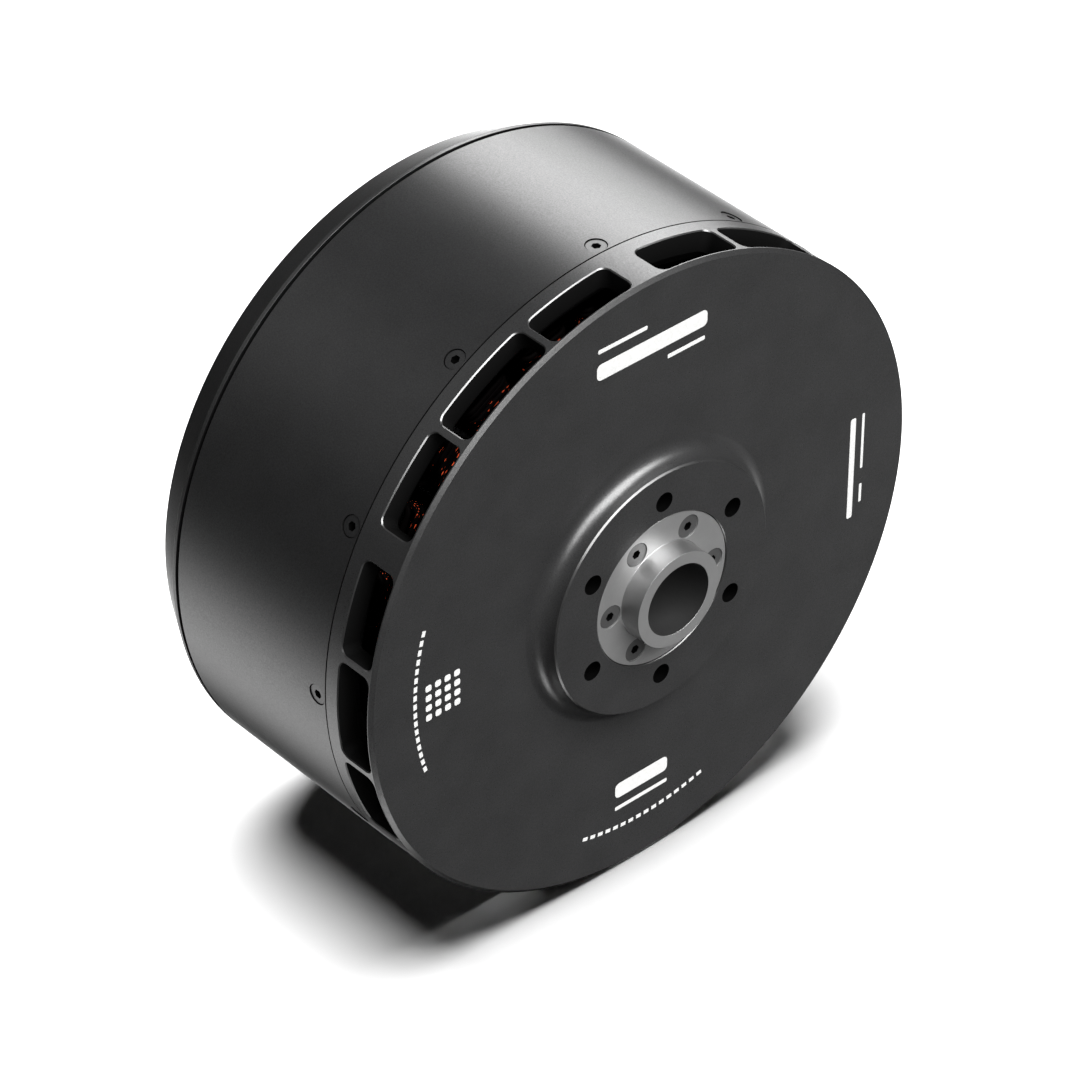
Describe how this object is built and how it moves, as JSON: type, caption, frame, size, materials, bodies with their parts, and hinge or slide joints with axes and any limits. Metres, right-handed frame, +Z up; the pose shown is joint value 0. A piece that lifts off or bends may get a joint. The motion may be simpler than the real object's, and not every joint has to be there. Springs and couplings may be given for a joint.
{
  "type": "brushless outrunner motor",
  "caption": "Large brushless outrunner motor: vented rotor drum with a raised propeller boss and hollow flanged shaft, turning on a fixed wound stator with phase leads at the back.",
  "frame": {"origin": "centre of the whole motor's bounding box, on the motor axis", "axes": "+X along the motor axis towards the output face, +Z up with the motor lying on its drum"},
  "size_m": [0.2212, 0.25, 0.25],
  "materials": {
    "black_anodised": "black anodised, fine bead-blasted satin",
    "satin_aluminium": "clear anodised, fine satin",
    "screw_steel": "plain steel, satin",
    "black_screw": "black oxide",
    "bearing_steel": "ground and polished",
    "magnet_plate": "nickel plated, satin",
    "lamination_steel": "powder coated sheet stack",
    "copper_enamel": "enamelled copper wire, red-brown",
    "cage_brass": "machined brass cage with steel balls",
    "silicone_cable": "black silicone sleeve",
    "grommet_rubber": "moulded black rubber",
    "tinned_copper": "tin plated copper"
  },
  "bodies": {
    "stator": {"rear_cover": "black_anodised", "stator_carrier": "satin_aluminium", "lamination_stack": "lamination_steel", "front_outer_race": "bearing_steel", "rear_outer_race": "bearing_steel", "retaining_ring": "screw_steel", "preload_washer": "screw_steel", "winding_u": "copper_enamel", "winding_v": "copper_enamel", "winding_w": "copper_enamel", "rear_screw_1": "black_screw", "rear_screw_2": "black_screw", "rear_screw_3": "black_screw", "rear_screw_4": "black_screw", "rear_screw_5": "black_screw", "rear_screw_6": "black_screw", "phase_lead_u": "silicone_cable", "phase_lead_v": "silicone_cable", "phase_lead_w": "silicone_cable", "lead_grommet_u": "grommet_rubber", "lead_grommet_v": "grommet_rubber", "lead_grommet_w": "grommet_rubber", "lead_lug_u": "tinned_copper", "lead_lug_v": "tinned_copper", "lead_lug_w": "tinned_copper"},
    "rotor": {"front_cover": "black_anodised", "rotor_drum": "black_anodised", "magnet_ring": "magnet_plate", "hub_shaft": "satin_aluminium", "front_spacer": "satin_aluminium", "bearing_spacer": "satin_aluminium", "shaft_nut": "screw_steel", "front_inner_race": "bearing_steel", "rear_inner_race": "bearing_steel", "hub_screw_1": "screw_steel", "hub_screw_2": "screw_steel", "hub_screw_3": "screw_steel", "hub_screw_4": "screw_steel", "hub_screw_5": "screw_steel", "hub_screw_6": "screw_steel", "drum_screw_1": "black_screw", "drum_screw_2": "black_screw", "drum_screw_3": "black_screw", "drum_screw_4": "black_screw", "drum_screw_5": "black_screw", "drum_screw_6": "black_screw", "drum_screw_7": "black_screw", "drum_screw_8": "black_screw", "drum_screw_9": "black_screw", "drum_screw_10": "black_screw", "drum_screw_11": "black_screw", "drum_screw_12": "black_screw"},
    "front_cage": {"front_ball_cage": "cage_brass"},
    "rear_cage": {"rear_ball_cage": "cage_brass"}
  },
  "joints": [
    {"name": "rotor_spin", "type": "hinge", "parent": "stator", "child": "rotor", "pos_m": [0, 0, 0], "axis": [1, 0, 0], "continuous": true},
    {"name": "front_cage_spin", "type": "hinge", "parent": "stator", "child": "front_cage", "pos_m": [0.0714, 0, 0], "axis": [1, 0, 0], "continuous": true},
    {"name": "rear_cage_spin", "type": "hinge", "parent": "stator", "child": "rear_cage", "pos_m": [-0.0006, 0, 0], "axis": [1, 0, 0], "continuous": true}
  ],
  "couplings": [
    {"joint": "front_cage_spin", "follows": "rotor_spin", "ratio": 0.44},
    {"joint": "rear_cage_spin", "follows": "rotor_spin", "ratio": 0.44}
  ]
}
